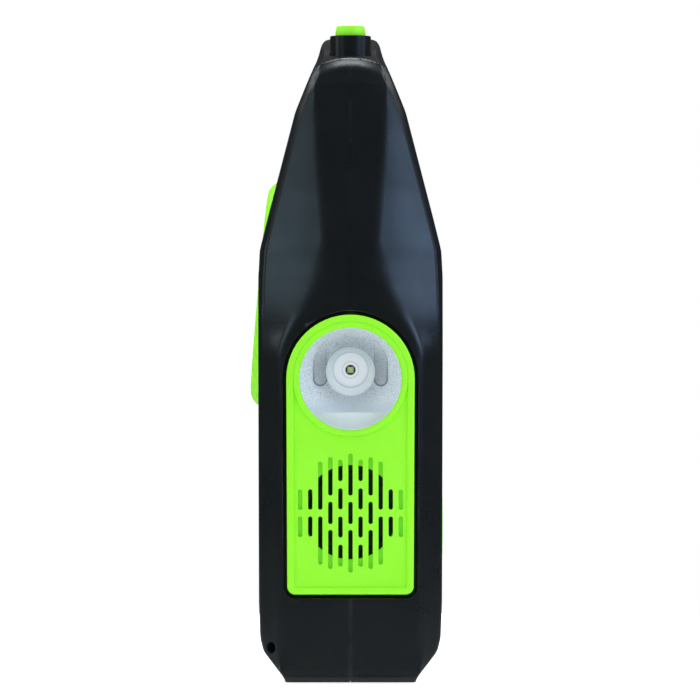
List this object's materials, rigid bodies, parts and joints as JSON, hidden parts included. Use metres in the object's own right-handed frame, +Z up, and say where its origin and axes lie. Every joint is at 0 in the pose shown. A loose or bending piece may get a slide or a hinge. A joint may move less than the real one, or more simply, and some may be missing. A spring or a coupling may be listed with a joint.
{
  "type": "emergency radio",
  "caption": "Hand-crank emergency radio: tapering black casing with a built-in handle, a green lamp and siren panel on its end, a ribbed crank wheel behind and a telescopic antenna.",
  "frame": {"origin": "middle of the flat base, on the parting plane of the two casing shells", "axes": "+X along the casing from the lamp end to the port end, -Y out of the front with the speaker and display, +Z up"},
  "size_m": [0.2113, 0.0628, 0.202],
  "materials": {
    "shell_black": "satin moulded ABS, fine texture",
    "accent_green": "satin moulded lime green ABS",
    "clear_cover": "clear polished polycarbonate",
    "reflector_silver": "vacuum-metallised, stippled",
    "frosted_white": "frosted white polycarbonate",
    "phosphor": "yellow-green phosphor coat",
    "heat_sink": "bare aluminium",
    "speaker_black": "black pressed steel",
    "cone_paper": "coated paper cone",
    "magnet_steel": "zinc plated",
    "grille_black": "fine moulded texture",
    "window_black": "smoked polished acrylic",
    "lcd_glass": "reflective display in a plastic frame",
    "board_green": "solder-masked glass epoxy",
    "key_grey": "soft silicone",
    "component_metal": "plated sheet steel",
    "cell_label": "printed sleeve, no lettering",
    "cell_blue": "heat-shrink sleeve",
    "solar_glass": "epoxy over silicon cells",
    "shaft_steel": "turned steel",
    "gear_nylon": "natural nylon",
    "rotor_brass": "cut brass pinion",
    "antenna_chrome": "polished plated tube",
    "rubber_black": "moulded rubber",
    "ferrite_grey": "sintered ferrite",
    "copper_wire": "enamelled copper winding",
    "screw_steel": "zinc plated"
  },
  "bodies": {
    "casing": {"front_shell": "shell_black", "rear_shell": "shell_black", "lamp_panel": "accent_green", "port_panel": "accent_green", "base_pad": "rubber_black", "shell_screws": "screw_steel", "lamp_lens": "clear_cover", "lamp_reflector": "reflector_silver", "led_holder": "frosted_white", "led_emitter": "phosphor", "led_board": "heat_sink", "siren_frame": "speaker_black", "siren_cone": "cone_paper", "siren_magnet": "magnet_steel", "speaker_grille": "grille_black", "speaker_frame": "speaker_black", "speaker_cone": "cone_paper", "speaker_magnet": "magnet_steel", "display_window": "window_black", "lcd_module": "lcd_glass", "main_board": "board_green", "tuning_encoder": "component_metal", "volume_pot": "component_metal", "battery_tray": "grille_black", "battery_cells": "cell_label", "lithium_cell": "cell_blue", "solar_panel": "solar_glass", "generator_body": "magnet_steel", "gear_plate": "component_metal", "antenna_collar": "shell_black", "antenna_tube": "antenna_chrome", "ferrite_rod": "ferrite_grey", "ferrite_coil": "copper_wire", "audio_jack": "grille_black", "usb_socket": "component_metal"},
    "crank": {"crank_wheel": "accent_green", "crank_shaft": "shaft_steel", "drive_gear": "gear_nylon", "grip_pin": "shaft_steel"},
    "grip_arm": {"grip_core": "grille_black"},
    "grip": {"grip_sleeve": "shell_black"},
    "idler": {"idler_gear": "gear_nylon"},
    "generator": {"generator_rotor": "rotor_brass"},
    "tuning": {"tuning_knob": "accent_green"},
    "volume": {"volume_knob": "accent_green"},
    "antenna_2": {"antenna_section_2": "antenna_chrome"},
    "antenna_3": {"antenna_section_3": "antenna_chrome"},
    "antenna_4": {"antenna_rod": "antenna_chrome", "antenna_tip": "accent_green"},
    "battery_door": {"battery_door": "shell_black"},
    "port_cover": {"port_cover": "rubber_black"},
    "key_power": {"key_power": "key_grey"},
    "key_band": {"key_band": "key_grey"},
    "key_scan": {"key_scan": "key_grey"},
    "key_lamp": {"key_lamp": "key_grey"},
    "key_siren": {"key_siren": "key_grey"}
  },
  "joints": [
    {"name": "crank_turn", "type": "hinge", "parent": "casing", "child": "crank", "pos_m": [0, 0.0297, 0.12], "axis": [0, 0.9962, 0.0872], "continuous": true},
    {"name": "grip_fold", "type": "hinge", "parent": "crank", "child": "grip_arm", "pos_m": [0.0215, 0.02635, 0.10666], "axis": [0, 0.0872, -0.9962], "range_deg": [0, 90]},
    {"name": "grip_spin", "type": "hinge", "parent": "grip_arm", "child": "grip", "pos_m": [0.0215, 0.02635, 0.10666], "axis": [-1, 0, 0], "continuous": true},
    {"name": "idler_spin", "type": "hinge", "parent": "casing", "child": "idler", "pos_m": [-0.0272, 0.01277, 0.11852], "axis": [0, 0.9962, 0.0872], "continuous": true},
    {"name": "generator_spin", "type": "hinge", "parent": "casing", "child": "generator", "pos_m": [-0.0272, 0.01119, 0.10212], "axis": [0, 0.9962, 0.0872], "continuous": true},
    {"name": "tuning_turn", "type": "hinge", "parent": "casing", "child": "tuning", "pos_m": [0.02, -0.025, 0.044], "axis": [0, -1, 0], "continuous": true},
    {"name": "volume_turn", "type": "hinge", "parent": "casing", "child": "volume", "pos_m": [0.058, -0.025, 0.044], "axis": [0, -1, 0], "range_deg": [-150, 150]},
    {"name": "antenna_pull_1", "type": "slide", "parent": "casing", "child": "antenna_2", "axis": [0, 0, 1], "range_m": [0, 0.112]},
    {"name": "antenna_pull_2", "type": "slide", "parent": "antenna_2", "child": "antenna_3", "axis": [0, 0, 1], "range_m": [0, 0.112]},
    {"name": "antenna_pull_3", "type": "slide", "parent": "antenna_3", "child": "antenna_4", "axis": [0, 0, 1], "range_m": [0, 0.112]},
    {"name": "battery_door_hinge", "type": "hinge", "parent": "casing", "child": "battery_door", "pos_m": [0, 0.0271, 0.0214], "axis": [-1, 0, 0], "range_deg": [0, 88]},
    {"name": "port_cover_hinge", "type": "hinge", "parent": "casing", "child": "port_cover", "pos_m": [0.10485, 0, 0.0596], "axis": [0, 1, 0], "range_deg": [0, 95]},
    {"name": "key_power_press", "type": "slide", "parent": "casing", "child": "key_power", "axis": [0, 1, 0], "range_m": [0, 0.001], "stiffness_N_per_m": 400},
    {"name": "key_band_press", "type": "slide", "parent": "casing", "child": "key_band", "axis": [0, 1, 0], "range_m": [0, 0.001], "stiffness_N_per_m": 400},
    {"name": "key_scan_press", "type": "slide", "parent": "casing", "child": "key_scan", "axis": [0, 1, 0], "range_m": [0, 0.001], "stiffness_N_per_m": 400},
    {"name": "key_lamp_press", "type": "slide", "parent": "casing", "child": "key_lamp", "axis": [0, 1, 0], "range_m": [0, 0.001], "stiffness_N_per_m": 400},
    {"name": "key_siren_press", "type": "slide", "parent": "casing", "child": "key_siren", "axis": [0, 1, 0], "range_m": [0, 0.001], "stiffness_N_per_m": 400}
  ],
  "couplings": [
    {"joint": "idler_spin", "follows": "crank_turn", "ratio": -3.8571},
    {"joint": "generator_spin", "follows": "crank_turn", "ratio": 13.5}
  ]
}
